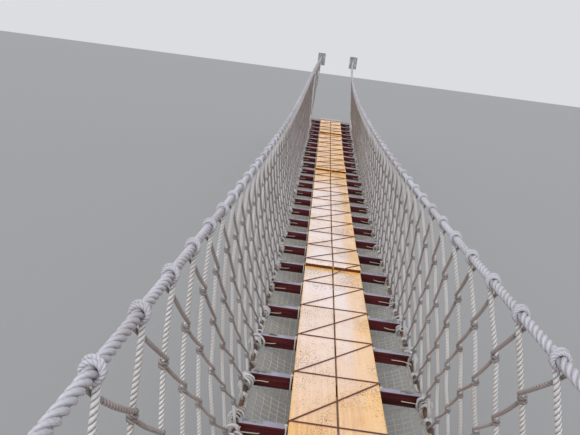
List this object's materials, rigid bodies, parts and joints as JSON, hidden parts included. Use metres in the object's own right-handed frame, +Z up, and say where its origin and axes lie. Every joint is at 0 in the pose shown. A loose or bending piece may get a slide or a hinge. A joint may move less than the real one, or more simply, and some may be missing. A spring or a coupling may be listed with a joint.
{
  "type": "rope suspension footbridge",
  "caption": "Rope suspension footbridge with three-strand hand ropes, knotted side nets, timber bearers lashed to foot cables and a plank footway between concrete sills.",
  "frame": {"origin": "middle of the near sill's underside", "axes": "+Y along the footway from the near sill to the far sill, +Z up, +X to the right of a walker"},
  "size_m": [1.3, 26.25, 2.1438],
  "materials": {
    "concrete": "rough wet concrete",
    "steel": "galvanised, dull",
    "rusty_cable": "rusted wire rope",
    "hand_rope": "weathered three-strand rope",
    "net_rope": "weathered three-strand rope",
    "bearer_wood": "wet dark red hardwood",
    "plank_wood": "wet orange softwood",
    "under_net_cord": "thin netting cord"
  },
  "bodies": {
    "root": {"near_sill": "concrete", "far_sill": "concrete", "near_cable_beam": "steel", "far_cable_beam": "steel", "near_anchor_left": "steel", "near_anchor_right": "steel", "far_anchor_left": "steel", "far_anchor_right": "steel", "foot_cable_left": "rusty_cable", "foot_cable_right": "rusty_cable", "hand_rope_left": "hand_rope", "hand_rope_right": "hand_rope", "side_net_left": "net_rope", "side_net_right": "net_rope", "bearers_1": "bearer_wood", "bearers_2": "bearer_wood", "bearers_3": "bearer_wood", "bearers_4": "bearer_wood", "bearers_5": "bearer_wood", "bearers_6": "bearer_wood", "bearers_7": "bearer_wood", "plank_left_1": "plank_wood", "plank_right_1": "plank_wood", "plank_left_2": "plank_wood", "plank_right_2": "plank_wood", "plank_left_3": "plank_wood", "plank_right_3": "plank_wood", "plank_left_4": "plank_wood", "plank_right_4": "plank_wood", "plank_left_5": "plank_wood", "plank_right_5": "plank_wood", "plank_left_6": "plank_wood", "plank_right_6": "plank_wood", "under_net": "under_net_cord"}
  },
  "joints": []
}
